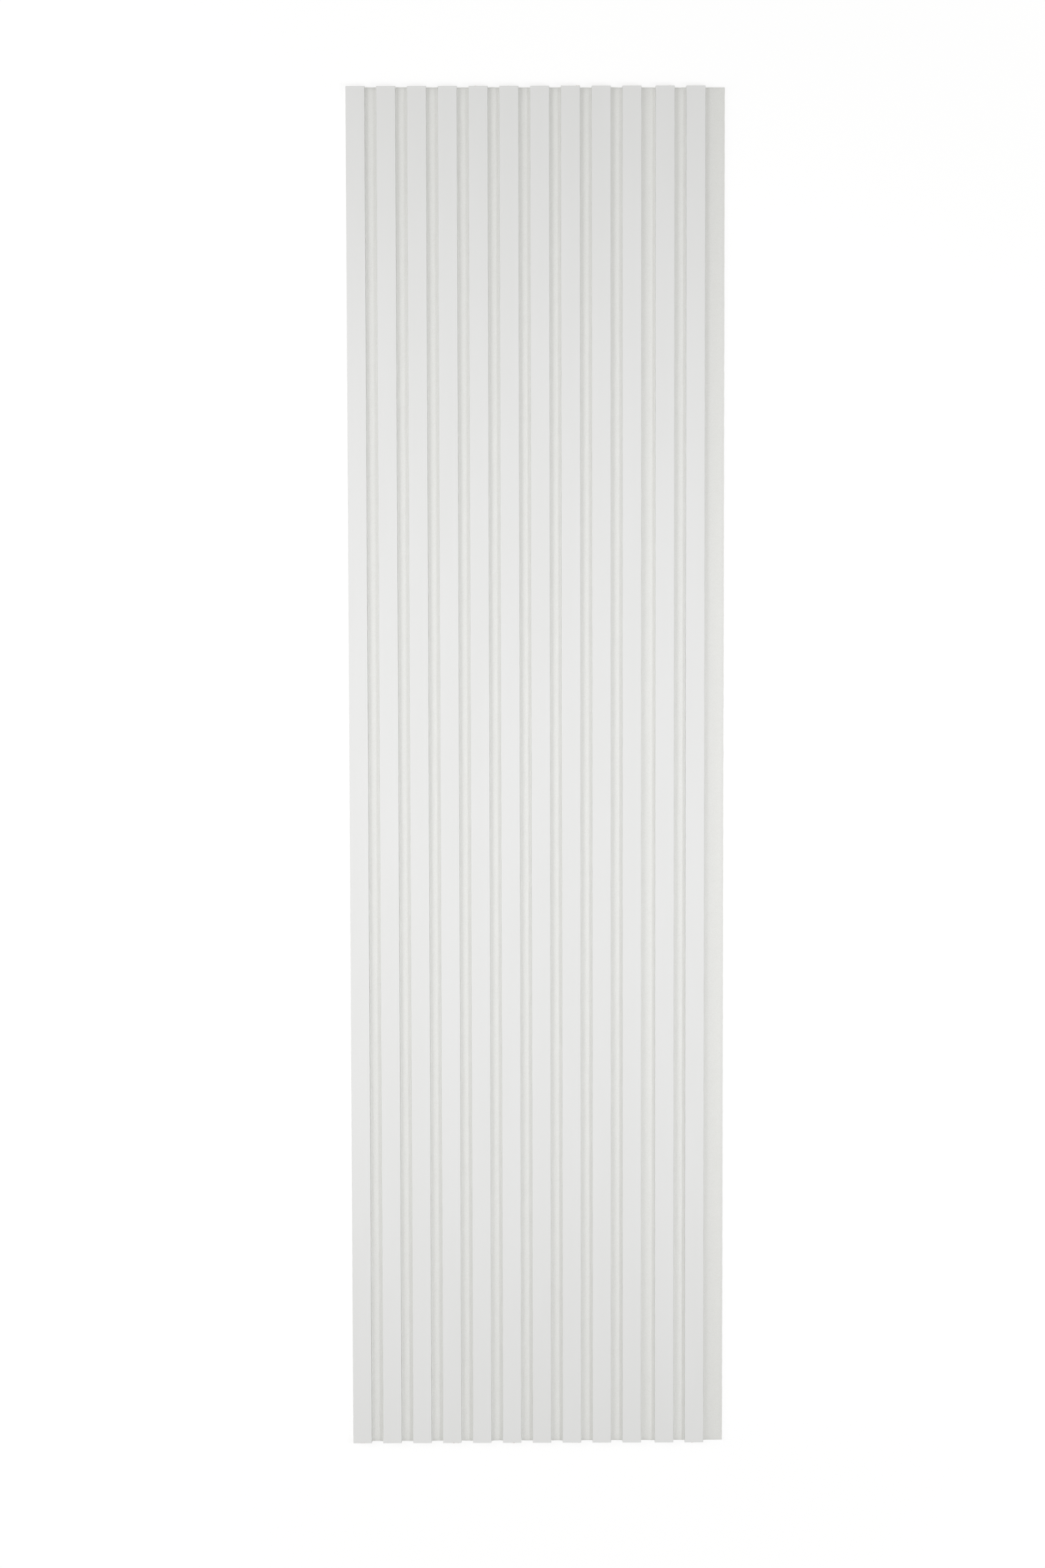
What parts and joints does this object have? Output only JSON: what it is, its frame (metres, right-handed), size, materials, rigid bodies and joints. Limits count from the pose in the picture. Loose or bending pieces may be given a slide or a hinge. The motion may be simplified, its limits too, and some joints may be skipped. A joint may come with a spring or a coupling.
{
  "type": "slat wall panel",
  "caption": "Flat wall panel of long satin white slats on a white felt backing, with a bare strip of felt along one edge.",
  "frame": {"origin": "middle of the back face, the felt's underside that meets the wall", "axes": "+X across the slats towards the bare felt strip, +Y along the slats towards the picture's upper end, +Z out of the panel's face"},
  "size_m": [0.6, 2.175, 0.021],
  "materials": {
    "slat_film": "satin",
    "white_felt": "matte"
  },
  "bodies": {
    "root": {"backing_felt": "white_felt", "slat_01": "slat_film", "slat_02": "slat_film", "slat_03": "slat_film", "slat_04": "slat_film", "slat_05": "slat_film", "slat_06": "slat_film", "slat_07": "slat_film", "slat_08": "slat_film", "slat_09": "slat_film", "slat_10": "slat_film", "slat_11": "slat_film", "slat_12": "slat_film"}
  },
  "joints": []
}
